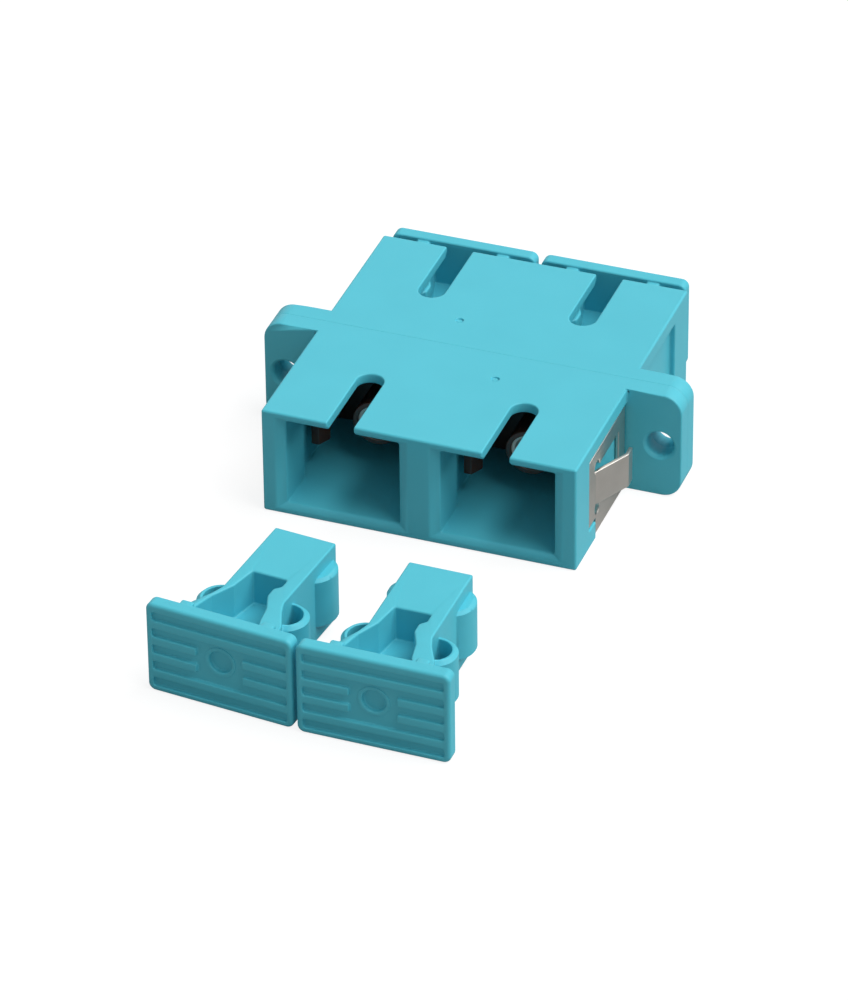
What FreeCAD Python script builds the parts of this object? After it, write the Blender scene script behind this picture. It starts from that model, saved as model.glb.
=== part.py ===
import FreeCAD, Part
import os
import re

import Sketcher

# Flanged duplex adapter for SC fibre connectors, with its panel clip and four dust plugs.
# Frame: X across the two ports, Y along the fibre with the open ports at -Y, Z up.
# Origin: on the underside, midway between the ports, where the two housing halves meet.

doc = FreeCAD.newDocument("duplex_adapter")
sheet = doc.addObject("Spreadsheet::Sheet", "Sizes")

SIZES = [
    # Housing outside
    ("body_width", 25.8),
    ("body_height", 9.3),
    ("half_length", 13.7),
    ("flange_width", 34.8),
    ("half_flange", 1.55),
    ("flange_corner", 1.6),
    ("outer_round", 0.2),
    # Ports
    ("port_pitch", 12.7),
    ("port_width", 9.3),
    ("port_height", 7.5),
    ("mouth_depth", 0.45),
    ("mouth_flare_side", 0.8),
    ("mouth_flare_top", 0.45),
    ("mouth_wall_length", 4.2),
    ("chamber_width", 10.5),
    ("key_width", 2.2),
    ("key_reach", 7.7),
    # Flange holes
    ("hole_inset", 1.8),
    ("hole_radius", 1.1),
    ("sink_radius", 1.35),
    ("sink_depth", 0.2),
    # Moulding gate on the top face
    ("gate_side", 2.75),
    ("gate_back", 3.55),
    ("gate_radius", 0.32),
    ("gate_depth", 0.15),
    # Recess for the panel clip
    ("recess_end_gap", 3.2),
    ("recess_side_depth", 0.45),
    ("recess_under_depth", 0.4),
    ("recess_top_rim", 1.3),
    ("recess_corner", 1.6),
    # Panel clip and its tongues
    ("clip_sheet", 0.3),
    ("clip_gap", 0.06),
    ("clip_edge_gap", 0.2),
    ("clip_bend", 0.45),
    ("tongue_height", 3.0),
    ("tongue_middle", 4.45),
    ("clip_front_bar", 1.59),
    ("clip_rear_bar", 1.45),
    ("tongue_end_gap", 0.8),
    ("tongue_lean", 26.5),
    ("tongue_tip", 1.0),
    ("tongue_tip_lean", -2.5),
    ("tongue_gap", 0.06),
    ("window_margin", 0.35),
    ("relief_radius", 0.6),
    # Sleeve and latch holder
    ("sleeve_bore_radius", 1.25),
    ("sleeve_radius", 1.6),
    ("sleeve_length", 11.4),
    ("sleeve_slit", 0.5),
    ("sleeve_gap", 0.03),
    ("tube_wall", 0.3),
    ("tube_lip", 0.25),
    ("tube_lip_radius", 1.5),
    ("holder_base", 0.9),
    ("holder_gap", 0.08),
    # Latch arms
    ("arm_thick", 0.65),
    ("arm_height", 3.4),
    ("arm_inner", 4.05),
    ("arm_mouth_gap", 5.8),
    ("arm_gap", 0.06),
    ("hook_depth", 0.5),
    ("hook_length", 1.3),
    ("hook_land", 0.3),
    # Dust plug: its own frame has Y into the port from the plate's inner face, Z up from its foot
    ("plate_width", 12.2),
    ("plate_height", 7.9),
    ("plate_thick", 1.2),
    ("plate_corner", 0.6),
    ("plate_edge_round", 0.28),
    ("plug_height", 6.85),
    ("nose_end_gap", 0.3),
    ("nose_width", 5.15),
    ("nose_start", 7.3),
    # Pocket between the walls, whose right side bulges inwards more than its left
    ("pocket_depth", 2.95),
    ("pocket_end_side", 1.45),
    ("pocket_foot_side", 2.5),
    ("pocket_low_side", 1.95),
    ("pocket_low_back", 1.9),
    ("pocket_step_side", 1.68),
    ("pocket_step_back", 3.4),
    ("pocket_bump_side", 1.0),
    ("pocket_bump_back", 4.9),
    ("pocket_bump_end", 5.9),
    ("pocket_neck_back", 6.35),
    ("pocket_left_foot_side", 3.55),
    ("pocket_left_knee_side", 2.75),
    ("pocket_left_knee_back", 3.1),
    ("pocket_left_neck_side", 1.86),
    ("pocket_left_neck_back", 5.0),
    ("pocket_round", 0.35),
    # Outsides of the walls, cheeks of the nose and spring loops
    ("wall_foot_side", 4.2),
    ("wall_flare_side", 3.75),
    ("wall_flare_back", 1.9),
    ("wall_knee_side", 2.95),
    ("wall_knee_back", 3.5),
    ("wall_straight_back", 4.6),
    ("bulge_side", 1.5),
    ("bulge_back", 2.0),
    ("bulge_radius", 2.0),
    ("bulge_height", 4.5),
    ("bulge_bevel", 0.25),
    ("ear_side", 2.72),
    ("ear_front", 4.45),
    ("ear_radius", 1.85),
    ("ear_hole_radius", 1.35),
    ("ear_low", 1.5),
    ("ear_height", 4.4),
    ("ear_bevel", 0.3),
    ("nose_bore_gap", 0.12),
    ("nose_bore_spare", 0.35),
    ("nub_side", 3.4),
    ("nub_width", 1.05),
    ("nub_height", 1.0),
    ("nub_drop", 0.2),
    ("nub_gap", 0.03),
    ("plug_seat_gap", 0.75),
    ("groove_pitch", 1.48),
    ("groove_height", 0.76),
    ("groove_depth", 0.3),
    ("groove_first", 0.5),
    ("groove_border", 0.5),
    ("grip_pad_width", 3.8),
    ("dimple_high", 4.1),
    ("dimple_radius", 0.95),
    ("dimple_depth", 0.4),
    ("dimple_ring", 1.28),
    ("dimple_ring_depth", 0.06),
    # Where the two loose plugs stand: their plates' inner faces, and how far each is turned
    ("loose_left_side", -6.2),
    ("loose_left_front", -38.38),
    ("loose_left_turn", -6.0),
    ("loose_right_side", 6.2),
    ("loose_right_front", -39.2),
    ("loose_right_turn", -0.7),
]

for row, (alias, value) in enumerate(SIZES, start=1):
    sheet.set("A%d" % row, alias)
    sheet.set("B%d" % row, str(value))
    sheet.setAlias("B%d" % row, alias)
doc.recompute()


NAMES = {alias: "Sizes." + alias for alias, value in SIZES}


def size(alias):
    """A driving size in millimetres or degrees, as a plain number."""
    return float(getattr(sheet, alias))


def bound(text):
    """An expression in which each word that is a size stands for its cell."""
    return re.sub("[a-z_]{3,}", lambda word: NAMES.get(word.group(0), word.group(0)), text)


def turned_about_z(degrees):
    spin = FreeCAD.Rotation(FreeCAD.Vector(0, 0, 1), degrees)
    return FreeCAD.Placement(FreeCAD.Vector(0, 0, 0), spin)


def place(solid, where, turn=None):
    """Bind a solid's position, and its turn about Z where it has one."""
    if turn is not None:
        solid.Placement = turned_about_z(1)
        solid.setExpression("Placement.Rotation.Angle", bound(turn))
    for axis, text in zip("xyz", where):
        solid.setExpression("Placement.Base." + axis, bound(text))


def box(name, corner, lengths):
    solid = doc.addObject("Part::Box", name)
    for key, text in zip(("Length", "Width", "Height"), lengths):
        solid.setExpression(key, bound(text))
    place(solid, corner)
    return solid


def cylinder(name, radius, height, foot, axis="Z"):
    """A cylinder that stands on its foot and runs along +Z, or along +Y or -Y."""
    solid = doc.addObject("Part::Cylinder", name)
    solid.setExpression("Radius", bound(radius))
    solid.setExpression("Height", bound(height))
    if axis != "Z":
        angle = -90 if axis == "+Y" else 90
        solid.Placement.Rotation = FreeCAD.Rotation(FreeCAD.Vector(1, 0, 0), angle)
    place(solid, foot)
    return solid


def fuse(name, solids):
    joined = doc.addObject("Part::MultiFuse", name)
    joined.Shapes = solids
    joined.Refine = True
    return joined


def cut(name, base, tools):
    tool = tools[0] if len(tools) == 1 else fuse(name + "_tools", tools)
    result = doc.addObject("Part::Cut", name)
    result.Base = base
    result.Tool = tool
    result.Refine = True
    return result


NEAR = 1e-3


def edges_where(shape, test):
    """Numbers, from 1, of the shape's edges that pass a test on their two ends."""
    chosen = []
    for index, edge in enumerate(shape.Edges, start=1):
        ends = [vertex.Point for vertex in edge.Vertexes]
        if len(ends) == 2 and test(ends[0], ends[1]):
            chosen.append(index)
    return chosen


def along(axis, first, second):
    """Whether an edge runs along one axis only."""
    step = second - first
    others = [key for key in "xyz" if key != axis]
    return abs(getattr(step, axis)) > 0.05 and all(abs(getattr(step, key)) < NEAR for key in others)


def round_edges(name, base, test, radius):
    doc.recompute()
    soft = doc.addObject("Part::Fillet", name)
    soft.Base = base
    soft.Edges = [(index, size(radius), size(radius)) for index in edges_where(base.Shape, test)]
    return soft


# Housing half
# It is built as the front half, from the joint at Y = 0 to the mouths at -Y.
# Both halves come from one mould, so the rear one is the same piece turned half round.

def housing(label, turned):
    """One moulded half: a block with two ports, half the flange and the clip's recess."""
    tag = label + "_"
    block = box(tag + "block", ("-body_width / 2", "-half_length", "0"),
                ("body_width", "half_length", "body_height"))
    ears = box(tag + "flange", ("-flange_width / 2", "-half_flange", "0"),
               ("flange_width", "half_flange", "body_height"))
    plate = round_edges(tag + "flange_corners", ears, lambda a, b: along("y", a, b), "flange_corner")
    shell = fuse(tag + "shell", [block, plate])

    def outside(a, b):
        upright = along("y", a, b) and abs(abs(a.x) - size("body_width") / 2) < NEAR
        end = abs(a.y + size("half_length")) < NEAR and abs(b.y + size("half_length")) < NEAR
        return upright or end

    rounded = round_edges(tag + "rounded", shell, outside, "outer_round")

    tools = []
    for side, sign in (("left", "-"), ("right", "")):
        middle = sign + "port_pitch / 2"
        floor = "(body_height - port_height) / 2"
        tools.append(box(tag + side + "_port", (middle + " - port_width / 2", "-half_length - 1", floor),
                         ("port_width", "half_length + 1", "port_height")))
        tools.append(box(tag + side + "_chamber",
                         (middle + " - chamber_width / 2", "-half_length + mouth_wall_length", floor),
                         ("chamber_width", "half_length - mouth_wall_length + 1", "port_height")))
        tools.append(mouth(tag + side, middle, floor))
        tools.append(box(tag + side + "_key",
                         (middle + " - key_width / 2", "-half_length - 1", "body_height / 2"),
                         ("key_width", "key_reach - key_width / 2 + 1", "body_height")))
        tools.append(cylinder(tag + side + "_key_end", "key_width / 2", "body_height",
                              (middle, "-half_length + key_reach - key_width / 2", "body_height / 2")))
        hole = sign + "(flange_width / 2 - hole_inset)"
        tools.append(cylinder(tag + side + "_hole", "hole_radius", "2 * half_flange",
                              (hole, "-1.5 * half_flange", "body_height / 2"), "+Y"))
        sink = doc.addObject("Part::Cone", tag + side + "_sink")
        sink.setExpression("Radius1", bound("sink_radius"))
        sink.setExpression("Radius2", bound("hole_radius"))
        sink.setExpression("Height", bound("sink_depth"))
        sink.Placement.Rotation = FreeCAD.Rotation(FreeCAD.Vector(1, 0, 0), -90)
        place(sink, (hole, "-half_flange", "body_height / 2"))
        tools.append(sink)
    tools.append(cylinder(tag + "gate", "gate_radius", "2 * gate_depth",
                          ("gate_side", "-gate_back", "body_height - gate_depth")))
    tools += clip_recess(tag)
    half = cut(label, rounded, tools)
    if turned:
        half.Placement = turned_about_z(180)
    return half


def mouth(tag, middle, floor):
    """The flared lead-in that guides a connector into a port."""
    flare = doc.addObject("Part::Wedge", tag + "_mouth")
    wide = {"Xmin": middle + " - port_width / 2 - mouth_flare_side",
            "Xmax": middle + " + port_width / 2 + mouth_flare_side",
            "Zmin": floor + " - mouth_flare_top",
            "Zmax": floor + " + port_height + mouth_flare_top"}
    deep = {"X2min": middle + " - port_width / 2", "X2max": middle + " + port_width / 2",
            "Z2min": floor, "Z2max": floor + " + port_height"}
    for key, text in list(wide.items()) + list(deep.items()):
        flare.setExpression(key, bound(text))
    flare.setExpression("Ymin", bound("-half_length"))
    flare.setExpression("Ymax", bound("-half_length + mouth_depth"))
    return flare


def clip_recess(tag):
    """A shallow U-shaped recess, down both sides and across the underside."""
    reach = "half_length - recess_end_gap - half_flange"
    front = "-half_length + recess_end_gap"
    tools = []
    for side, start in (("left", "-body_width / 2 - 1"), ("right", "body_width / 2 - recess_side_depth")):
        tools.append(box(tag + side + "_recess", (start, front, "recess_corner"),
                         ("recess_side_depth + 1", reach, "body_height - recess_top_rim - recess_corner")))
        tools.append(box(tag + side + "_recess_low", (start, front + " + recess_corner", "-1"),
                         ("recess_side_depth + 1", reach + " - recess_corner", "recess_corner + 2")))
    tools.append(box(tag + "under_recess", ("-body_width", front + " + recess_corner", "-1"),
                     ("2 * body_width", reach + " - recess_corner", "recess_under_depth + 1")))
    return tools


# Split sleeve
# A zirconia tube with one slit, which lines up the two ferrules of a fibre link.

def sleeve(label, middle):
    axis_height = "body_height / 2"
    outer = cylinder(label + "_outer", "sleeve_radius", "sleeve_length",
                     (middle, "-sleeve_length / 2", axis_height), "+Y")
    bore = cylinder(label + "_bore", "sleeve_bore_radius", "sleeve_length + 2",
                    (middle, "-sleeve_length / 2 - 1", axis_height), "+Y")
    slit = box(label + "_slit", (middle + " - sleeve_slit / 2", "-sleeve_length / 2 - 1", axis_height),
               ("sleeve_slit", "sleeve_length + 2", "2 * sleeve_radius"))
    return cut(label, outer, [bore, slit])


# Latch holder
# A base that fills the chamber at the joint, and a thin tube that covers half the sleeve.

def holder(label, middle, turned):
    base = box(label + "_base", (middle + " - chamber_width / 2 + holder_gap", "-holder_base",
                                 "(body_height - port_height) / 2 + holder_gap"),
               ("chamber_width - 2 * holder_gap", "holder_base", "port_height - 2 * holder_gap"))
    tube = cylinder(label + "_tube", "sleeve_radius + sleeve_gap + tube_wall",
                    "sleeve_length / 2 + sleeve_gap + tube_lip", (middle, "0", "body_height / 2"), "-Y")
    room = cylinder(label + "_room", "sleeve_radius + sleeve_gap", "sleeve_length / 2 + sleeve_gap + 1",
                    (middle, "1", "body_height / 2"), "-Y")
    way = cylinder(label + "_way", "tube_lip_radius", "sleeve_length",
                   (middle, "0", "body_height / 2"), "-Y")
    piece = cut(label, fuse(label + "_solid", [base, tube]), [room, way])
    if turned:
        piece.Placement = turned_about_z(180)
    return piece


# Latch arm
# A springy finger beside the sleeve, with a hook that catches a connector's shoulder.
# Its own frame has the bend's centre at the origin and the finger along +Y, hook towards +X.

def latch_arm(label, port, side, end):
    """port and side are -1 for left and 1 for right; end is -1 for the front and 1 for the rear."""
    body = doc.addObject("PartDesign::Body", label)
    sketch = new_sketch(body, "XY_Plane", label + "_plan", "-arm_height / 2")
    reach = "half_length - arm_mouth_gap - holder_base - arm_gap - arm_thick / 2"
    half = "arm_thick / 2"
    outline = [("-" + half, "0"), (half, "0"), (half, reach + " - hook_length"),
               (half + " + hook_depth", reach + " - hook_length"),
               (half + " + hook_depth", reach + " - hook_length + hook_land"),
               (half, reach), ("-" + half, reach)]
    polygon(sketch, outline)
    pad(body, sketch, "arm_height")
    root = new_sketch(body, "XY_Plane", label + "_root", "-arm_height / 2")
    circle(root, "0", "0", half)
    pad(body, root, "arm_height")
    # The hook points towards the sleeve: the plan is turned over where that is on the other hand.
    inward = -side
    angle = 0 if end == 1 else 180
    points_to = 1 if angle == 0 else -1
    if points_to != inward:
        axis, spin = (FreeCAD.Vector(0, 1, 0), 180)
    else:
        axis, spin = (FreeCAD.Vector(0, 0, 1), 0)
    flip = FreeCAD.Rotation(axis, spin)
    body.Placement.Rotation = FreeCAD.Rotation(FreeCAD.Vector(0, 0, 1), angle).multiply(flip)
    port_sign = "-" if port < 0 else ""
    side_sign = "-" if side < 0 else "+"
    end_sign = "-" if end < 0 else ""
    where = (port_sign + "port_pitch / 2 " + side_sign + " (arm_inner + arm_thick / 2)",
             end_sign + "(holder_base + arm_gap + arm_thick / 2)", "body_height / 2")
    place(body, where)
    return body


# Panel clip
# One strip of spring steel, bent into a U round the housing, with a window on each side.

CLIP_FRONT = "(-half_length + recess_end_gap + clip_edge_gap)"
WINDOW_START = "(" + CLIP_FRONT + " + clip_front_bar)"
WINDOW_END = "(-half_flange - clip_edge_gap - clip_rear_bar)"
TONGUE_ROOT = "(" + WINDOW_START + " + tongue_gap + clip_sheet / 2)"
TONGUE_REACH = "(" + WINDOW_END + " - tongue_end_gap - tongue_tip - " + TONGUE_ROOT + ")"


def panel_clip(label):
    outside = "body_width / 2 - recess_side_depth + clip_gap + clip_sheet"
    low = "recess_under_depth - clip_gap - clip_sheet"
    front = CLIP_FRONT
    length = "half_length - recess_end_gap - half_flange - 2 * clip_edge_gap"
    top = "body_height - recess_top_rim - clip_edge_gap"
    strap_front = front + " + recess_corner"
    strap_length = length + " - recess_corner"
    solid = box(label + "_solid", ("-(" + outside + ")", front, low),
                ("2 * (" + outside + ")", length, top + " - (" + low + ")"))
    bent = round_edges(label + "_bent", solid,
                       lambda a, b: along("y", a, b) and a.z < size("body_height") / 2, "clip_bend")
    room = box(label + "_room", ("-(" + outside + " - clip_sheet)", front + " - 1", low + " + clip_sheet"),
               ("2 * (" + outside + " - clip_sheet)", length + " + 2", "body_height"))
    notch = box(label + "_notch", ("-body_width", front + " - 1", "-1"),
                ("2 * body_width", "recess_corner + 1", "recess_corner + clip_edge_gap + 1"))
    window_low = "tongue_middle - tongue_height / 2 - window_margin"
    window = box(label + "_window", ("-body_width", WINDOW_START, window_low),
                 ("2 * body_width", WINDOW_END + " - " + WINDOW_START, "tongue_height + 2 * window_margin"))
    reliefs = []
    for name, level in (("low", window_low), ("high", window_low + " + tongue_height + 2 * window_margin")):
        relief = doc.addObject("Part::Cylinder", label + "_relief_" + name)
        relief.setExpression("Radius", bound("relief_radius"))
        relief.setExpression("Height", bound("2 * body_width"))
        relief.Placement.Rotation = FreeCAD.Rotation(FreeCAD.Vector(0, 1, 0), 90)
        place(relief, ("-body_width", WINDOW_START + " + relief_radius / 2", level))
        reliefs.append(relief)
    hole = box(label + "_strap_hole",
               ("-body_width / 4", strap_front + " + 0.25 * (" + strap_length + ")", "-1"),
               ("body_width / 2", "0.5 * (" + strap_length + ")", "body_height / 4"))
    return cut(label, bent, [room, notch, window, hole] + reliefs)


# Clip tongue
# Cut out of the clip's side and bent outwards, with its tip bent back along the side.
# It grips the panel against the flange, and is pressed in to free the adapter.

def tongue(label, side):
    half = "clip_sheet / 2"
    bend = cylinder(label + "_bend", half, "tongue_height", ("0", "0", "0"))
    strip = box(label + "_strip", ("-" + half, "0", "0"), ("clip_sheet", TONGUE_REACH, "tongue_height"))
    knee = cylinder(label + "_knee", half, "tongue_height", ("0", TONGUE_REACH, "0"))
    tip = box(label + "_tip", ("0", "0", "0"), ("clip_sheet", "tongue_tip", "tongue_height"))
    turn = "tongue_lean - tongue_tip_lean" if side > 0 else "-(tongue_lean - tongue_tip_lean)"
    tip_corner = ("-" + half + " * cos(" + turn + ")",
                  TONGUE_REACH + " - " + half + " * sin(" + turn + ")", "0")
    place(tip, tip_corner, turn)
    piece = fuse(label, [bend, strip, knee, tip])
    x = "body_width / 2 - recess_side_depth + clip_gap + clip_sheet / 2"
    lean = "-tongue_lean" if side > 0 else "tongue_lean"
    place(piece, (x if side > 0 else "-(" + x + ")", TONGUE_ROOT, "tongue_middle - tongue_height / 2"), lean)
    return piece


# Sketch tools for the dust plugs and the latch arms

def new_sketch(body, role, name, raised="0"):
    """A sketch on one of the body's own planes, raised along that plane's normal."""
    sketch = body.newObject("Sketcher::SketchObject", name)
    plane = [feature for feature in body.Origin.OriginFeatures if feature.Role == role][0]
    sketch.AttachmentSupport = [(plane, "")]
    sketch.MapMode = "FlatFace"
    sketch.setExpression("AttachmentOffset.Base.z", bound(raised))
    return sketch


def polygon(sketch, points):
    """A closed outline whose corners are all bound to the sheet."""
    corners = [FreeCAD.Vector(value_of(sketch, x), value_of(sketch, y), 0) for x, y in points]
    count = len(corners)
    first = sketch.GeometryCount
    for index, corner in enumerate(corners):
        sketch.addGeometry(Part.LineSegment(corner, corners[(index + 1) % count]), False)
    for index in range(count):
        after = first + (index + 1) % count
        sketch.addConstraint(Sketcher.Constraint("Coincident", first + index, 2, after, 1))
    for index, (x, y) in enumerate(points):
        for kind, text, value in (("DistanceX", x, corners[index].x), ("DistanceY", y, corners[index].y)):
            number_of = sketch.addConstraint(Sketcher.Constraint(kind, first + index, 1, value))
            sketch.setExpression("Constraints[%d]" % number_of, bound(text))


def circle(sketch, x, y, radius):
    centre = FreeCAD.Vector(value_of(sketch, x), value_of(sketch, y), 0)
    ring = sketch.addGeometry(Part.Circle(centre, FreeCAD.Vector(0, 0, 1), value_of(sketch, radius)), False)
    for kind, text, value in (("DistanceX", x, centre.x), ("DistanceY", y, centre.y)):
        index = sketch.addConstraint(Sketcher.Constraint(kind, ring, 3, value))
        sketch.setExpression("Constraints[%d]" % index, bound(text))
    index = sketch.addConstraint(Sketcher.Constraint("Radius", ring, value_of(sketch, radius)))
    sketch.setExpression("Constraints[%d]" % index, bound(radius))


def value_of(owner, text):
    """What an expression comes to now, as a plain number."""
    result = owner.evalExpression(bound(text))
    return float(getattr(result, "Value", result))


def pad(body, sketch, length, reversed_way=False):
    feature = body.newObject("PartDesign::Pad", sketch.Name + "_pad")
    feature.Profile = sketch
    feature.setExpression("Length", bound(length))
    feature.Reversed = reversed_way
    sketch.Visibility = False
    return feature


def pocket(body, sketch, depth, reversed_way=False):
    feature = body.newObject("PartDesign::Pocket", sketch.Name + "_pocket")
    feature.Profile = sketch
    feature.setExpression("Length", bound(depth))
    feature.Reversed = reversed_way
    return feature


# Dust plug
# Moulded in one piece: a gripping plate, two walls that run into a solid nose, a springy
# loop outside each wall that rubs on the port, and a rounded cheek on each side of the nose.

PLUG_LENGTH = "(half_length + plug_seat_gap - holder_base - nose_end_gap)"


def dust_plug(label, where, turn):
    body = doc.addObject("PartDesign::Body", label)
    plate = new_sketch(body, "XZ_Plane", label + "_plate")
    half = "plate_width / 2"
    polygon(plate, [("-" + half, "0"), (half, "0"), (half, "plate_height"), ("-" + half, "plate_height")])
    pad(body, plate, "plate_thick")
    doc.recompute()
    corners = edges_where(body.Shape, lambda a, b: along("y", a, b))
    soften(body, label + "_corners", corners, "plate_corner")
    front = -size("plate_thick")
    rim = edges_where(body.Shape, lambda a, b: abs(a.y - front) < NEAR and abs(b.y - front) < NEAR)
    soften(body, label + "_rim", rim, "plate_edge_round")

    disc_pair(body, label + "_ear", "ear_side", "ear_front", "ear_radius", "ear_low", "ear_height")
    bevel(body, label + "_ear_edges", "ear_low", "ear_height", "ear_bevel")
    holes = new_sketch(body, "XY_Plane", label + "_ear_holes")
    for sign in ("-", ""):
        circle(holes, sign + "ear_side", "ear_front", "ear_hole_radius")
    pocket(body, holes, "plug_height", True)

    cheek_low = "(plug_height - bulge_height) / 2"
    disc_pair(body, label + "_cheek", "bulge_side", PLUG_LENGTH + " - bulge_back", "bulge_radius",
              cheek_low, "bulge_height")
    bevel(body, label + "_cheek_edges", cheek_low, "bulge_height", "bulge_bevel")

    walls = new_sketch(body, "XY_Plane", label + "_walls")
    outer = [("wall_foot_side", "0"), ("wall_flare_side", "wall_flare_back"),
             ("wall_knee_side", "wall_knee_back"), ("nose_width / 2", "wall_straight_back"),
             ("nose_width / 2", PLUG_LENGTH)]
    mirrored = [("-(" + x + ")", y) for x, y in reversed(outer)]
    polygon(walls, outer + mirrored)
    pad(body, walls, "plug_height")

    right_side = [("pocket_foot_side", "0"), ("pocket_low_side", "pocket_low_back"),
                  ("pocket_step_side", "pocket_step_back"), ("pocket_bump_side", "pocket_bump_back"),
                  ("pocket_bump_side", "pocket_bump_end"), ("pocket_end_side", "pocket_neck_back"),
                  ("pocket_end_side", "nose_start")]
    left_side = [("-pocket_end_side", "nose_start"), ("-pocket_left_neck_side", "pocket_left_neck_back"),
                 ("-pocket_left_knee_side", "pocket_left_knee_back"), ("-pocket_left_foot_side", "0")]
    hollow = new_sketch(body, "XY_Plane", label + "_hollow", "plug_height - pocket_depth")
    polygon(hollow, right_side + left_side)
    pocket(body, hollow, "pocket_depth + plate_height", True)
    doc.recompute()
    floor = size("plug_height") - size("pocket_depth")
    bends = edges_where(body.Shape, lambda a, b: along("z", a, b) and abs(min(a.z, b.z) - floor) < NEAR
                        and NEAR < a.y < size("nose_start") - NEAR)
    soften(body, label + "_pocket_bends", bends, "pocket_round")

    bore = new_sketch(body, "XZ_Plane", label + "_bore", "-" + PLUG_LENGTH)
    circle(bore, "0", "plug_height / 2", "sleeve_radius + sleeve_gap + tube_wall + nose_bore_gap")
    pocket(body, bore, nose_bore_depth(), True)

    nubs = new_sketch(body, "XY_Plane", label + "_nubs", "plate_height - nub_drop - nub_height")
    reach = "plug_seat_gap - nub_gap"
    for sign in ("-", ""):
        start = sign + "nub_side - nub_width / 2"
        stop = sign + "nub_side + nub_width / 2"
        polygon(nubs, [(start, "0"), (stop, "0"), (stop, reach), (start, reach)])
    pad(body, nubs, "nub_height")

    grooves = new_sketch(body, "XZ_Plane", label + "_grooves", "plate_thick")
    edge = "(plate_width / 2 - groove_border)"
    for count in range(5):
        low = "groove_first + %d * groove_pitch" % count
        top = low + " + groove_height"
        polygon(grooves, [("-" + edge, low), (edge, low), (edge, top), ("-" + edge, top)])
    pocket(body, grooves, "groove_depth")
    pad_low = "groove_first + groove_pitch + groove_height / 2"
    pad_top = "groove_first + 3 * groove_pitch + groove_height / 2"
    half_pad = "grip_pad_width / 2"
    grip_pad = new_sketch(body, "XZ_Plane", label + "_grip_pad", "plate_thick")
    polygon(grip_pad, [("-" + half_pad, pad_low), (half_pad, pad_low), (half_pad, pad_top),
                       ("-" + half_pad, pad_top)])
    pocket(body, grip_pad, "groove_depth")

    ring = new_sketch(body, "XZ_Plane", label + "_ring", "plate_thick - groove_depth")
    circle(ring, "0", "dimple_high", "dimple_ring")
    pad(body, ring, "dimple_ring_depth")
    dimple = new_sketch(body, "XZ_Plane", label + "_dimple", "plate_thick - groove_depth + dimple_ring_depth")
    circle(dimple, "0", "dimple_high", "dimple_radius")
    pocket(body, dimple, "dimple_depth")

    place(body, where, turn)
    return body


def soften(body, name, edges, radius):
    """Round a body's chosen edges."""
    base = body.Tip
    feature = body.newObject("PartDesign::Fillet", name)
    feature.Base = (base, ["Edge%d" % index for index in edges])
    feature.setExpression("Radius", bound(radius))
    body.Tip = feature
    doc.recompute()
    return feature


def disc_pair(body, name, side, back, radius, low, height):
    """Two equal discs, left and right, which may overlap in the middle."""
    for tag, sign in (("_left", "-"), ("_right", "")):
        plan = new_sketch(body, "XY_Plane", name + tag, low)
        circle(plan, sign + side, back, radius)
        pad(body, plan, height)


def bevel(body, name, low, height, width):
    """Bevel the level edges behind the plate at the top and at the bottom of a feature."""
    doc.recompute()
    bottom = value_of(body, low)
    levels = (bottom, bottom + value_of(body, height))
    chosen = []
    for index, edge in enumerate(body.Shape.Edges, start=1):
        span = edge.BoundBox
        behind = span.YMin > NEAR
        if behind and span.ZLength < NEAR and min(abs(span.ZMin - level) for level in levels) < NEAR:
            chosen.append("Edge%d" % index)
    base = body.Tip
    feature = body.newObject("PartDesign::Chamfer", name)
    feature.Base = (base, chosen)
    feature.setExpression("Size", bound(width))
    body.Tip = feature
    doc.recompute()
    return feature


def nose_bore_depth():
    """Deep enough for the sleeve's tube, which the nose slides over."""
    return "sleeve_length / 2 + sleeve_gap + tube_lip - holder_base - nose_end_gap + nose_bore_spare"


PIECES = {
    "front_housing": housing("front_housing", False),
    "rear_housing": housing("rear_housing", True),
    "panel_clip": panel_clip("panel_clip"),
    "left_clip_tongue": tongue("left_clip_tongue", -1),
    "right_clip_tongue": tongue("right_clip_tongue", 1),
}
for side_name, sign, hand in (("left", "-", -1), ("right", "", 1)):
    PIECES[side_name + "_sleeve"] = sleeve(side_name + "_sleeve", sign + "port_pitch / 2")
    for end_name, end in (("front", -1), ("rear", 1)):
        name = end_name + "_" + side_name
        # A turned holder is built at the other port, because it turns about the origin.
        middle = sign if end < 0 else ("" if sign else "-")
        PIECES[name + "_latch_holder"] = holder(name + "_latch_holder", middle + "port_pitch / 2", end > 0)
        for arm_name, arm in (("outer", hand), ("inner", -hand)):
            arm_label = name + "_" + arm_name + "_arm"
            PIECES[arm_label] = latch_arm(arm_label, hand, arm, end)
    seat = (sign + "port_pitch / 2", "half_length + plug_seat_gap", "(body_height - plug_height) / 2")
    PIECES["rear_" + side_name + "_plug"] = dust_plug("rear_" + side_name + "_plug", seat, "180")
    stand = ("loose_" + side_name + "_side", "loose_" + side_name + "_front", "0")
    PIECES["loose_" + side_name + "_plug"] = dust_plug(
        "loose_" + side_name + "_plug", stand, "loose_" + side_name + "_turn")

doc.recompute()

for item in doc.Objects:
    bad = [state for state in item.State if state in ("Invalid", "Error")]
    if bad:
        raise RuntimeError("%s did not build: %s" % (item.Label, item.getStatusString()))

os.makedirs("parts", exist_ok=True)
for label, piece in PIECES.items():
    shape = piece.Shape
    if shape.isNull() or not shape.isValid() or not shape.Solids:
        raise RuntimeError("%s has no valid solid" % label)
    piece.Label = label
    shape.exportStep("parts/%s.step" % label)
    print("%-26s solids %d volume %.2f" % (label, len(shape.Solids), shape.Volume))
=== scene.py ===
import math

import bmesh
import bpy
from mathutils import Matrix, Vector


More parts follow.
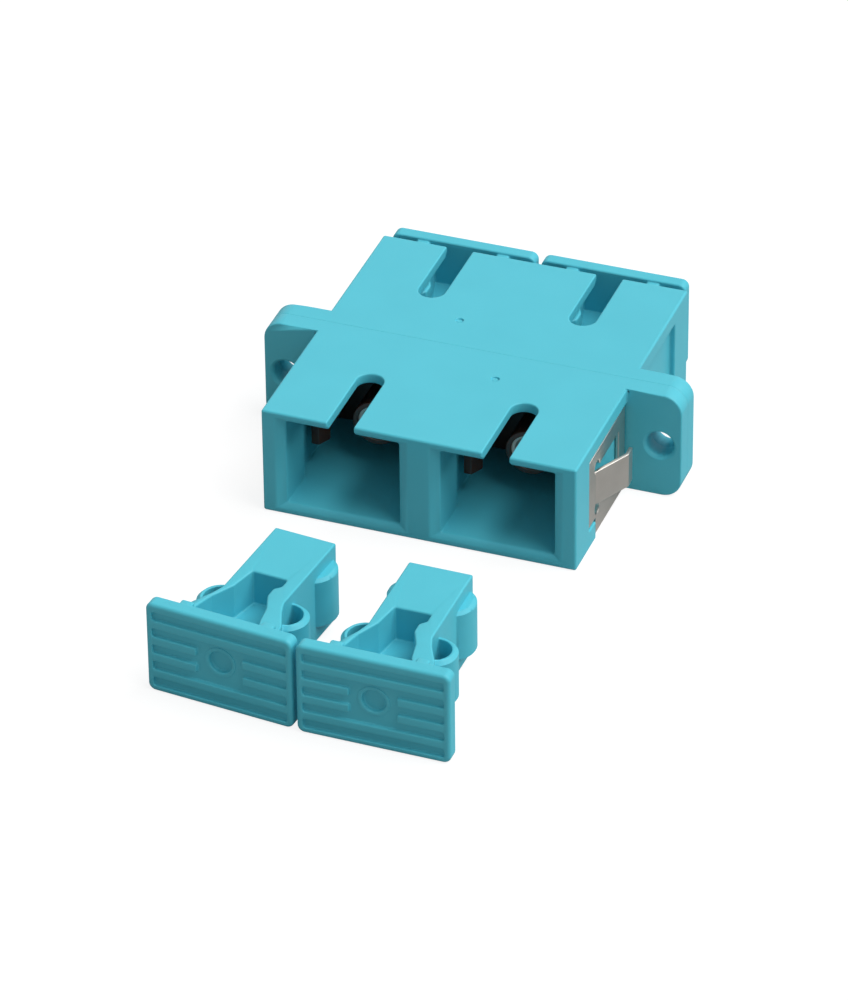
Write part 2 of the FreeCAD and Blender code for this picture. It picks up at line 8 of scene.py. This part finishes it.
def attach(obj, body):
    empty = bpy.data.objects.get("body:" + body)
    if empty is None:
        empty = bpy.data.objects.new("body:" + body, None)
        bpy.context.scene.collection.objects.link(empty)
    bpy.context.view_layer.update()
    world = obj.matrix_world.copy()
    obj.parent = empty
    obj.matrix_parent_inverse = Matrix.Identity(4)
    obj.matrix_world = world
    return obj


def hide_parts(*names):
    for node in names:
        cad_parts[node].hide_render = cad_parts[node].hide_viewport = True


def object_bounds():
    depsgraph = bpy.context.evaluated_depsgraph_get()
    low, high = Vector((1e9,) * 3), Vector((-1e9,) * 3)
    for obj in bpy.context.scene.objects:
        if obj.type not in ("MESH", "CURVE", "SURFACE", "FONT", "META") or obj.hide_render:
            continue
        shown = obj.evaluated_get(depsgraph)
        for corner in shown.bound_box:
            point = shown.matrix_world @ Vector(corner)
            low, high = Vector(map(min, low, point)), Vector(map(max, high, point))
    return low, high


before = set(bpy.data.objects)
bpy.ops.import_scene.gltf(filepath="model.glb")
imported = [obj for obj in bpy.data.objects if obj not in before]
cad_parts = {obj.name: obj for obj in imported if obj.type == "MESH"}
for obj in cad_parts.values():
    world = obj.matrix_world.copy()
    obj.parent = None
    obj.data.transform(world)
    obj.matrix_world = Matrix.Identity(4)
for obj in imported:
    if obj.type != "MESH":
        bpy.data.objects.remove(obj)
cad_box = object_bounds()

MM = 0.001

# Housing halves
# Two like mouldings in aqua PBT, a polyester that moulds to a close satin skin. The rear one is
# the same piece turned half round, and the two are welded together across the flange.

HOUSING_EDGE = 0.13 * MM
FLAT = math.radians(0.5)
SHARP = math.radians(25)
# A face has to be this many times as wide as the rounding, or the rounding beside it shrinks
ROOM_NEEDED = 2.3
LEAST_SHARE = 0.1
JOINT_SHARE = 0.25
SMALLEST_FLAT = 0.5 * MM * MM
SMALLEST_REGION = 5 * MM * MM
FOLD_AREA = 0.2 * MM * MM


def flat_regions(work):
    """Gives each face the first face of the flat region that it belongs to."""
    region = {}
    for first in work.faces:
        if first in region:
            continue
        region[first] = first
        waiting = [first]
        while waiting:
            for edge in waiting.pop().edges:
                if len(edge.link_faces) != 2 or edge.calc_face_angle() > FLAT:
                    continue
                for beside in edge.link_faces:
                    if beside not in region:
                        region[beside] = first
                        waiting.append(beside)
    return region


def flat_borders(work, region):
    """The end points of the edges round each flat region."""
    borders = {}
    for edge in work.edges:
        owners = {region[face] for face in edge.link_faces}
        if len(owners) == 2:
            for owner in owners:
                borders.setdefault(owner, []).append((edge, edge.verts[0].co, edge.verts[1].co))
    return borders


def room_beside(loop, region, borders):
    """How far a flat region runs from one of its edges, at right angles to that edge."""
    start, end = loop.vert.co, loop.link_loop_next.vert.co
    forward = (end - start).normalized()
    inward = loop.face.normal.cross(forward)
    least = 1.0
    for share in (0.03, 0.5, 0.97):
        point = start.lerp(end, share)
        for edge, first, second in borders[region[loop.face]]:
            before, after = (first - point).dot(forward), (second - point).dot(forward)
            if edge is loop.edge or before * after > 0 or abs(before - after) < 1e-9:
                continue
            away = (first.lerp(second, before / (before - after)) - point).dot(inward)
            if away > 1e-7:
                least = min(least, away)
    return least


def plain_mesh(piece):
    """Turns a piece's live modifiers into its own mesh."""
    graph = bpy.context.evaluated_depsgraph_get()
    finished = bpy.data.meshes.new_from_object(piece.evaluated_get(graph))
    piece.modifiers.clear()
    piece.data = finished
    finished.name = piece.name


def fill_folded(mesh, least):
    """Fills a flat region anew from its border where rounding has folded its old faces over."""
    work = bmesh.new()
    work.from_mesh(mesh)
    folded = set()
    for corners in work.calc_loop_triangles():
        one, two, three = (corner.vert.co for corner in corners)
        if (two - one).cross(three - one).dot(corners[0].face.normal) < -least:
            folded.add(corners[0].face)
    done = set()
    regions = []
    for first in work.faces:
        if first in done or len(first.verts) < 5 or first.calc_area() < SMALLEST_FLAT:
            continue
        group = {first}
        waiting = [first]
        while waiting:
            for edge in waiting.pop().edges:
                for beside in edge.link_faces:
                    if beside not in group and abs(beside.normal.dot(first.normal)) > math.cos(FLAT):
                        group.add(beside)
                        waiting.append(beside)
        done |= group
        normal = max(group, key=lambda face: face.calc_area()).normal.copy()
        if group & folded and sum(face.calc_area() for face in group) > SMALLEST_REGION:
            regions.append((group, normal))
    for group, normal in regions:
        uses = {}
        for face in group:
            for edge in face.edges:
                uses[edge] = uses.get(edge, 0) + 1
        border = [edge for edge, count in uses.items() if count == 1]
        inside = [edge for edge, count in uses.items() if count > 1]
        bmesh.ops.delete(work, geom=list(group), context="FACES_ONLY")
        bmesh.ops.delete(work, geom=inside, context="EDGES")
        filled = bmesh.ops.triangle_fill(work, use_beauty=True, edges=border, normal=normal)
        for face in filled["geom"]:
            if isinstance(face, bmesh.types.BMFace):
                face.smooth = True
                face.normal_update()
                if face.normal.dot(normal) < 0:
                    face.normal_flip()
    bmesh.ops.delete(work, geom=[edge for edge in work.edges if not edge.link_faces], context="EDGES")
    bmesh.ops.delete(work, geom=[vert for vert in work.verts if not vert.link_faces], context="VERTS")
    work.to_mesh(mesh)
    work.free()


def rounded_copy(node, name, width, steps=3, fold=FOLD_AREA):
    """A copy of a CAD piece with its loose triangles merged and its sharp edges rounded.
    Where a face is narrow, the edges beside it are rounded less, so that two never meet."""
    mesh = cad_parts[node].data.copy()
    work = bmesh.new()
    work.from_mesh(mesh)
    bmesh.ops.remove_doubles(work, verts=work.verts, dist=0.002 * MM)
    bmesh.ops.dissolve_limit(work, angle_limit=FLAT, verts=work.verts, edges=work.edges)
    region = flat_regions(work)
    borders = flat_borders(work, region)
    weight = work.edges.layers.float.new("bevel_weight_edge")
    for edge in work.edges:
        if len(edge.link_faces) == 2 and edge.calc_face_angle() > SHARP:
            room = min(room_beside(loop, region, borders) for loop in edge.link_loops)
            share = min(1.0, room / (ROOM_NEEDED * width))
            # The two halves meet at Y = 0 in a close joint, so the edges there are hardly rounded
            if all(abs(vert.co.y) < 0.01 * MM for vert in edge.verts):
                share *= JOINT_SHARE
            edge[weight] = share if share > LEAST_SHARE else 0.0
            edge.smooth = share > LEAST_SHARE
    for face in work.faces:
        face.smooth = True
    work.to_mesh(mesh)
    work.free()
    mesh.materials.clear()
    piece = bpy.data.objects.new(name, mesh)
    bpy.context.scene.collection.objects.link(piece)
    rounding = piece.modifiers.new("rounding", "BEVEL")
    rounding.width = width
    rounding.segments = steps
    rounding.limit_method = "WEIGHT"
    rounding.use_clamp_overlap = False
    rounding.miter_outer = "MITER_ARC"
    rounding.loop_slide = False
    plain_mesh(piece)
    fill_folded(piece.data, fold)
    shading = piece.modifiers.new("shading", "WEIGHTED_NORMAL")
    shading.weight = 100
    shading.keep_sharp = True
    plain_mesh(piece)
    return piece


def colour(code):
    """An sRGB hex colour as linear red, green, blue and alpha."""
    parts = [int(code[start:start + 2], 16) / 255 for start in (1, 3, 5)]
    return tuple(c / 12.92 if c <= 0.04045 else ((c + 0.055) / 1.055) ** 2.4 for c in parts) + (1.0,)


def add(tree, kind, inputs=(), **settings):
    """Adds a node, with its settings, and with each input's value or the socket that feeds it."""
    made = tree.nodes.new(kind)
    for key, value in settings.items():
        setattr(made, key, value)
    for key, value in dict(inputs).items():
        if isinstance(value, bpy.types.NodeSocket):
            tree.links.new(value, made.inputs[key])
        else:
            made.inputs[key].default_value = value
    return made


def new_material(name):
    """An empty node material, its tree and its output."""
    material = bpy.data.materials.new(name)
    material.use_nodes = True
    material.node_tree.nodes.clear()
    return material, material.node_tree, add(material.node_tree, "ShaderNodeOutputMaterial")


def moulded_pbt(name, light, dark, grain, gloss):
    """Moulded polyester: faint flow clouds in the colour, and a spark-eroded grain in the skin."""
    material, tree, output = new_material(name)
    place = add(tree, "ShaderNodeTexCoord").outputs["Object"]
    # Flow clouds some 5 mm across, from how the melt filled the mould
    clouds = add(tree, "ShaderNodeTexNoise", {"Vector": place, "Scale": 1 / (5 * MM), "Detail": 3.0})
    tint = add(tree, "ShaderNodeMix", {"Factor": clouds.outputs["Fac"], "A": colour(dark),
                                       "B": colour(light)}, data_type="RGBA")
    # The real grain is near 0.05 mm, too fine to show, so it is drawn at the size given
    skin = add(tree, "ShaderNodeTexNoise", {"Vector": place, "Scale": 1 / grain, "Detail": 2.0})
    # Shallow sink and draw marks, where the skin pulled in over thicker walls, some 3 mm across
    sink = add(tree, "ShaderNodeTexNoise", {"Vector": place, "Scale": 1 / (3 * MM), "Detail": 1.0})
    wavy = add(tree, "ShaderNodeBump", {"Height": sink.outputs["Fac"], "Strength": 0.15,
                                        "Distance": 0.1 * MM})
    relief = add(tree, "ShaderNodeBump", {"Height": skin.outputs["Fac"], "Strength": 0.12,
                                          "Distance": 0.02 * MM, "Normal": wavy.outputs["Normal"]})
    sheen = add(tree, "ShaderNodeMapRange", {"Value": clouds.outputs["Fac"], "To Min": gloss - 0.04,
                                             "To Max": gloss + 0.06})
    shader = add(tree, "ShaderNodeBsdfPrincipled", {
        "Base Color": tint.outputs["Result"], "Roughness": sheen.outputs["Result"],
        "Normal": relief.outputs["Normal"], "IOR": 1.45, "Specular IOR Level": 0.4,
        "Subsurface Weight": 0.1, "Subsurface Scale": 0.5 * MM, "Subsurface Radius": (0.5, 0.9, 1.0)})
    tree.links.new(shader.outputs["BSDF"], output.inputs["Surface"])
    return material


housing_pbt = moulded_pbt("aqua_pbt_moulded", "#58C6D8", "#50BED0", 0.2 * MM, 0.42)

for half in ("front_housing", "rear_housing"):
    shell = rounded_copy(half, half + "_moulding", HOUSING_EDGE)
    shell.data.materials.append(housing_pbt)
    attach(shell, "adapter")
    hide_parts(half)

# Gate stubs
# Where the plastic entered the mould, a small stub is left, snapped off below the surface so that
# it can't scratch a neighbour. There is one in the dimple on each half.

GATE = Vector((2.75, -3.55, 9.17)) * MM
STUB_RADIUS = 0.2 * MM
STUB_HEIGHT = 0.1 * MM


def new_geometry_tree(name, sizes):
    """A Geometry Nodes tree with one named input for each size, its input node and its output node."""
    tree = bpy.data.node_groups.new(name, "GeometryNodeTree")
    tree.interface.new_socket("Geometry", in_out="OUTPUT", socket_type="NodeSocketGeometry")
    for label, kind in sizes:
        tree.interface.new_socket(label, in_out="INPUT", socket_type=kind)
    return tree, add(tree, "NodeGroupInput").outputs, add(tree, "NodeGroupOutput")


def grown(name, tree, values):
    """An object with the plain mesh that a Geometry Nodes tree makes from the values given."""
    piece = bpy.data.objects.new(name, bpy.data.meshes.new(name))
    bpy.context.scene.collection.objects.link(piece)
    nodes = piece.modifiers.new("grown", "NODES")
    nodes.node_group = tree
    for socket in tree.interface.items_tree:
        if socket.in_out == "INPUT":
            nodes[socket.identifier] = values[socket.name]
    plain_mesh(piece)
    return piece


tree, sizes, output = new_geometry_tree("snapped_stubs", (
    ("First", "NodeSocketVector"), ("Last", "NodeSocketVector"), ("Radius", "NodeSocketFloat"),
    ("Height", "NodeSocketFloat"), ("Material", "NodeSocketMaterial")))
places = add(tree, "GeometryNodeMeshLine", {"Count": 2, "Start Location": sizes["First"],
                                            "Offset": sizes["Last"]}, mode="END_POINTS")
stub = add(tree, "GeometryNodeMeshCylinder", {"Vertices": 20, "Side Segments": 3, "Fill Segments": 4,
                                              "Radius": sizes["Radius"], "Depth": sizes["Height"]})
set_down = add(tree, "GeometryNodeInstanceOnPoints", {"Points": places.outputs["Mesh"],
                                                      "Instance": stub.outputs["Mesh"]})
real = add(tree, "GeometryNodeRealizeInstances", {"Geometry": set_down.outputs["Instances"]})
# The break is uneven by about a fifth of the stub's height
torn = add(tree, "ShaderNodeTexNoise", {"Scale": 1 / (0.12 * MM), "Detail": 2.0})
lowered = add(tree, "ShaderNodeMath", {0: torn.outputs["Fac"], 1: -0.4}, operation="MULTIPLY")
drop = add(tree, "ShaderNodeMath", {0: lowered.outputs[0], 1: sizes["Height"]}, operation="MULTIPLY")
down = add(tree, "ShaderNodeCombineXYZ", {"Z": drop.outputs[0]})
rough = add(tree, "GeometryNodeSetPosition", {"Geometry": real.outputs["Geometry"],
                                              "Offset": down.outputs["Vector"]})
dressed = add(tree, "GeometryNodeSetMaterial", {"Geometry": rough.outputs["Geometry"],
                                                "Material": sizes["Material"]})
tree.links.new(dressed.outputs["Geometry"], output.inputs["Geometry"])

opposite = Vector((-GATE.x, -GATE.y, GATE.z))
stubs = grown("gate_stubs", tree, {"First": GATE, "Last": opposite, "Radius": STUB_RADIUS,
                                   "Height": STUB_HEIGHT, "Material": housing_pbt})
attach(stubs, "adapter")

# Split sleeves
# Ground zirconia tubes, each slit along its length so that it springs onto the two ferrules.
# The ceramic is hard, white and glossy, and lets a little light in under its skin.

zirconia, tree, output = new_material("zirconia_ground")
place = add(tree, "ShaderNodeTexCoord").outputs["Object"]
# Grinding leaves fine rings round the tube, some 0.1 mm apart along the fibre
rings = add(tree, "ShaderNodeTexWave", {"Vector": place, "Scale": 1 / (0.6 * MM), "Distortion": 1.5},
            bands_direction="Y")
ground = add(tree, "ShaderNodeMapRange", {"Value": rings.outputs["Fac"], "To Min": 0.14, "To Max": 0.24})
ceramic = add(tree, "ShaderNodeBsdfPrincipled", {
    "Base Color": colour("#F1F0E8"), "Roughness": ground.outputs["Result"], "IOR": 2.1,
    "Subsurface Weight": 0.1, "Subsurface Scale": 0.3 * MM})
tree.links.new(ceramic.outputs["BSDF"], output.inputs["Surface"])

PORT_SIDE = 6.35 * MM
FIBRE_HEIGHT = 4.65 * MM
SLEEVE = {"Bore": 1.25 * MM, "Outside": 1.6 * MM, "Length": 11.4 * MM, "Slit": 0.5 * MM,
          "Lip": 0.08 * MM, "Material": zirconia}

# The section of the wall, with its rounded lips, is swept round the fibre from one side of the slit
# to the other
tree, sizes, output = new_geometry_tree("slit_tube", (
    ("Bore", "NodeSocketFloat"), ("Outside", "NodeSocketFloat"), ("Length", "NodeSocketFloat"),
    ("Slit", "NodeSocketFloat"), ("Lip", "NodeSocketFloat"), ("Place", "NodeSocketVector"),
    ("Material", "NodeSocketMaterial")))
wall = add(tree, "ShaderNodeMath", {0: sizes["Outside"], 1: sizes["Bore"]}, operation="SUBTRACT")
both = add(tree, "ShaderNodeMath", {0: sizes["Outside"], 1: sizes["Bore"]}, operation="ADD")
middle = add(tree, "ShaderNodeMath", {0: both.outputs[0], 1: 0.5}, operation="MULTIPLY")
opening = add(tree, "ShaderNodeMath", {0: sizes["Slit"], 1: middle.outputs[0]}, operation="DIVIDE")
half_opening = add(tree, "ShaderNodeMath", {0: opening.outputs[0], 1: 0.5}, operation="MULTIPLY")
sweep = add(tree, "ShaderNodeMath", {0: math.tau, 1: opening.outputs[0]}, operation="SUBTRACT")
way_round = add(tree, "GeometryNodeCurveArc", {"Resolution": 97, "Radius": middle.outputs[0],
                                               "Start Angle": half_opening.outputs[0],
                                               "Sweep Angle": sweep.outputs[0]})
section = add(tree, "GeometryNodeCurvePrimitiveQuadrilateral", {"Width": wall.outputs[0],
                                                                "Height": sizes["Length"]})
lips = add(tree, "GeometryNodeFilletCurve", {"Curve": section.outputs["Curve"], "Radius": sizes["Lip"],
                                             "Count": 5, "Limit Radius": True}, mode="POLY")
swept = add(tree, "GeometryNodeCurveToMesh", {"Curve": way_round.outputs["Curve"],
                                              "Profile Curve": lips.outputs["Curve"], "Fill Caps": True})
# The tube is swept round Z, then laid along the fibre with its slit uppermost
upright = add(tree, "GeometryNodeTransform", {"Geometry": swept.outputs["Mesh"],
                                              "Rotation": (0.0, 0.0, math.pi / 2)})
laid = add(tree, "GeometryNodeTransform", {"Geometry": upright.outputs["Geometry"],
                                           "Rotation": (math.pi / 2, 0.0, 0.0),
                                           "Translation": sizes["Place"]})
real = add(tree, "GeometryNodeRealizeInstances", {"Geometry": laid.outputs["Geometry"]})
soft = add(tree, "GeometryNodeSetShadeSmooth", {"Geometry": real.outputs["Geometry"]})
dressed = add(tree, "GeometryNodeSetMaterial", {"Geometry": soft.outputs["Geometry"],
                                                "Material": sizes["Material"]})
tree.links.new(dressed.outputs["Geometry"], output.inputs["Geometry"])

for hand, side in (("left", -PORT_SIDE), ("right", PORT_SIDE)):
    tube = grown(hand + "_sleeve_ceramic", tree, {**SLEEVE, "Place": Vector((side, 0, FIBRE_HEIGHT))})
    outward = bmesh.new()
    outward.from_mesh(tube.data)
    bmesh.ops.recalc_face_normals(outward, faces=outward.faces)
    outward.to_mesh(tube.data)
    outward.free()
    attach(tube, "adapter")
    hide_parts(hand + "_sleeve")

# Latch holders and arms
# Moulded in polyetherimide, a stiff and slightly see-through resin, because the arms
# must spring for years. It is coloured dark brown, partly the resin's own colour and partly painted
# shade from the dim ports. Each holder and its two hooked arms are clamped between the halves.

latch_pei, tree, output = new_material("pei_brown_with_painted_shade")
place = add(tree, "ShaderNodeTexCoord").outputs["Object"]
# Amber streaks some 1.5 mm long, painted light where it gets through the thinner resin
streaks = add(tree, "ShaderNodeTexNoise", {"Vector": place, "Scale": 1 / (1.5 * MM), "Detail": 2.0})
# The dark brown is partly painted shade, and the amber streaks are painted light coming through
amber = add(tree, "ShaderNodeMix", {"Factor": streaks.outputs["Fac"], "A": colour("#2A1811"),
                                    "B": colour("#4E2B1B")}, data_type="RGBA")
resin = add(tree, "ShaderNodeBsdfPrincipled", {
    "Base Color": amber.outputs["Result"], "Roughness": 0.32, "IOR": 1.66, "Subsurface Weight": 0.1,
    "Subsurface Scale": 0.4 * MM})
tree.links.new(resin.outputs["BSDF"], output.inputs["Surface"])

for end in ("front", "rear"):
    for hand in ("left", "right"):
        base = rounded_copy("%s_%s_latch_holder" % (end, hand), "%s_%s_latch_base" % (end, hand), 0.08 * MM)
        base.data.materials.append(latch_pei)
        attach(base, "adapter")
        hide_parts("%s_%s_latch_holder" % (end, hand))
        for side in ("outer", "inner"):
            node = "%s_%s_%s_arm" % (end, hand, side)
            finger = rounded_copy(node, node + "_finger", 0.08 * MM)
            finger.data.materials.append(latch_pei)
            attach(finger, node + "_body")
            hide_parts(node)

# Panel clip and its tongues
# One strip of spring steel, blanked, bent round the housing and hardened. It is left bare, so it
# shows the fine lines of the rolled strip and a warm grey from hardening.

strip_steel, tree, output = new_material("spring_steel_rolled")
place = add(tree, "ShaderNodeTexCoord").outputs["Object"]
# Rolling lines run along the fibre: 0.15 mm across and some 20 times as long
stretch = add(tree, "ShaderNodeMapping", {"Vector": place, "Scale": (1.0, 0.05, 1.0)})
lines = add(tree, "ShaderNodeTexNoise", {"Vector": stretch.outputs["Vector"], "Scale": 1 / (0.15 * MM),
                                         "Detail": 3.0})
oxide = add(tree, "ShaderNodeTexNoise", {"Vector": place, "Scale": 1 / (2.5 * MM), "Detail": 4.0})
tone = add(tree, "ShaderNodeMix", {"Factor": oxide.outputs["Fac"], "A": colour("#C2BDB6"),
                                   "B": colour("#DAD5CE")}, data_type="RGBA")
rolled = add(tree, "ShaderNodeMapRange", {"Value": lines.outputs["Fac"], "To Min": 0.32, "To Max": 0.4})
scratch = add(tree, "ShaderNodeBump", {"Height": lines.outputs["Fac"], "Strength": 0.1,
                                       "Distance": 0.002 * MM})
steel = add(tree, "ShaderNodeBsdfPrincipled", {
    "Base Color": tone.outputs["Result"], "Roughness": rolled.outputs["Result"], "Metallic": 1.0,
    "Normal": scratch.outputs["Normal"]})
tree.links.new(steel.outputs["BSDF"], output.inputs["Surface"])

for node, name, body in (("panel_clip", "panel_clip_strip", "adapter"),
                         ("left_clip_tongue", "left_tongue_leaf", "left_tongue"),
                         ("right_clip_tongue", "right_tongue_leaf", "right_tongue")):
    strip = rounded_copy(node, name, 0.05 * MM, 2)
    strip.data.materials.append(strip_steel)
    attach(strip, body)
    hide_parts(node)

# Dust plugs
# Moulded in one piece from a softer, waxier aqua plastic than the housing, with rounder edges.
# Two are pushed into the rear ports, and two stand loose in front of the open ones.

PLUG_EDGE = 0.16 * MM
PLUG_FOLD = 0.002 * MM * MM
plug_plastic = moulded_pbt("aqua_plug_moulded", "#56C5D7", "#4EBDCF", 0.25 * MM, 0.46)

for where in ("rear", "loose"):
    for hand in ("left", "right"):
        node = "%s_%s_plug" % (where, hand)
        plug = rounded_copy(node, node + "_moulding", PLUG_EDGE, fold=PLUG_FOLD)
        plug.data.materials.append(plug_plastic)
        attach(plug, node + "_body")
        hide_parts(node)

# Studio
# A pale table top under an even white sky, with one broad lamp high on the right and a little
# behind, which is what makes the upper faces bright and the front ones deep in the photograph.

TABLE_SIDE = 1.2
TABLE_DROP = 0.02 * MM
PAPER_LIFT = 0.78
PAPER_GLOW = 1.1

bpy.ops.mesh.primitive_plane_add(size=TABLE_SIDE, location=(0, 0, cad_box[0][2] - TABLE_DROP))
table = bpy.context.object
table.name = "table_top"

paper, tree, output = new_material("table_paper")
seen = add(tree, "ShaderNodeLightPath").outputs["Is Camera Ray"]
# What the paper throws back at the piece is the mid grey of a real sweep, a little way off
bounce = add(tree, "ShaderNodeMix", {"Factor": seen, "A": colour("#AFAFAF"), "B": colour("#F8F8F8")},
             data_type="RGBA")
matt = add(tree, "ShaderNodeBsdfDiffuse", {"Color": bounce.outputs["Result"]})
# Seen straight on, the paper is lifted to white, and only the shadow under the pieces is left
lift = add(tree, "ShaderNodeEmission", {"Color": colour("#FFFFFF"), "Strength": PAPER_GLOW})
share = add(tree, "ShaderNodeMath", {0: seen, 1: PAPER_LIFT}, operation="MULTIPLY")
both = add(tree, "ShaderNodeMixShader", {0: share.outputs[0], 1: matt.outputs["BSDF"],
                                         2: lift.outputs["Emission"]})
tree.links.new(both.outputs["Shader"], output.inputs["Surface"])
table.data.materials.append(paper)

SKY_LIGHT = 0.3
SKY_MIRRORED = 0.9
world = bpy.data.worlds.new("white_sky")
world.use_nodes = True
world.node_tree.nodes.clear()
tree = world.node_tree
seen = add(tree, "ShaderNodeLightPath")
direct = add(tree, "ShaderNodeMath", {0: seen.outputs["Is Camera Ray"],
                                      1: seen.outputs["Is Transmission Ray"]}, operation="MAXIMUM")
mirrored = add(tree, "ShaderNodeMapRange", {"Value": seen.outputs["Is Glossy Ray"], "To Min": SKY_LIGHT,
                                            "To Max": SKY_MIRRORED})
strength = add(tree, "ShaderNodeMix", {"Factor": direct.outputs[0], "A": mirrored.outputs["Result"],
                                       "B": 1.0})
sky = add(tree, "ShaderNodeBackground", {"Color": colour("#FFFFFF"), "Strength": strength.outputs["Result"]})
sky_out = add(tree, "ShaderNodeOutputWorld", {"Surface": sky.outputs["Background"]})
bpy.context.scene.world = world

LAMP_HEIGHT = math.radians(57)
LAMP_BEHIND = math.radians(12)
LAMP_SPREAD = math.radians(55)
LAMP_STRENGTH = 0.89 * math.pi
lamp_data = bpy.data.lights.new("broad_lamp", "SUN")
lamp_data.energy = LAMP_STRENGTH
lamp_data.angle = LAMP_SPREAD
lamp = bpy.data.objects.new("broad_lamp", lamp_data)
bpy.context.scene.collection.objects.link(lamp)
towards_lamp = Vector((math.cos(LAMP_HEIGHT) * math.cos(LAMP_BEHIND),
                       math.cos(LAMP_HEIGHT) * math.sin(LAMP_BEHIND), math.sin(LAMP_HEIGHT)))
lamp.rotation_euler = towards_lamp.to_track_quat("Z", "Y").to_euler()

# Camera
# A long lens from above the front right corner, as the photograph was taken. It was worked out
# from the straight edges of the housing, and it rolls a little over half a degree.

AIM = Vector((0.55, -13.86, 4.0)) * MM
AROUND = math.radians(20.40)
ABOVE = math.radians(34.01)
ROLL = math.radians(-0.65)
DISTANCE = 490.8 * MM
FOCAL_PIXELS = 6360
FRAME_HEIGHT_PIXELS = 1000

back = Vector((math.sin(AROUND) * math.cos(ABOVE), -math.cos(AROUND) * math.cos(ABOVE), math.sin(ABOVE)))
right = (-back).cross(Vector((0, 0, 1))).normalized()
up = right.cross(-back)
right_rolled = right * math.cos(ROLL) + up * math.sin(ROLL)
up_rolled = up * math.cos(ROLL) - right * math.sin(ROLL)
camera_data = bpy.data.cameras.new("long_lens")
camera_data.sensor_width = 36
camera_data.lens = FOCAL_PIXELS * camera_data.sensor_width / FRAME_HEIGHT_PIXELS
camera_data.clip_start = 0.01
camera = bpy.data.objects.new("long_lens", camera_data)
bpy.context.scene.collection.objects.link(camera)
turned = Matrix((right_rolled, up_rolled, back)).transposed().to_4x4()
camera.matrix_world = Matrix.Translation(AIM + back * DISTANCE) @ turned
bpy.context.scene.camera = camera
bpy.context.scene.view_settings.view_transform = "Standard"
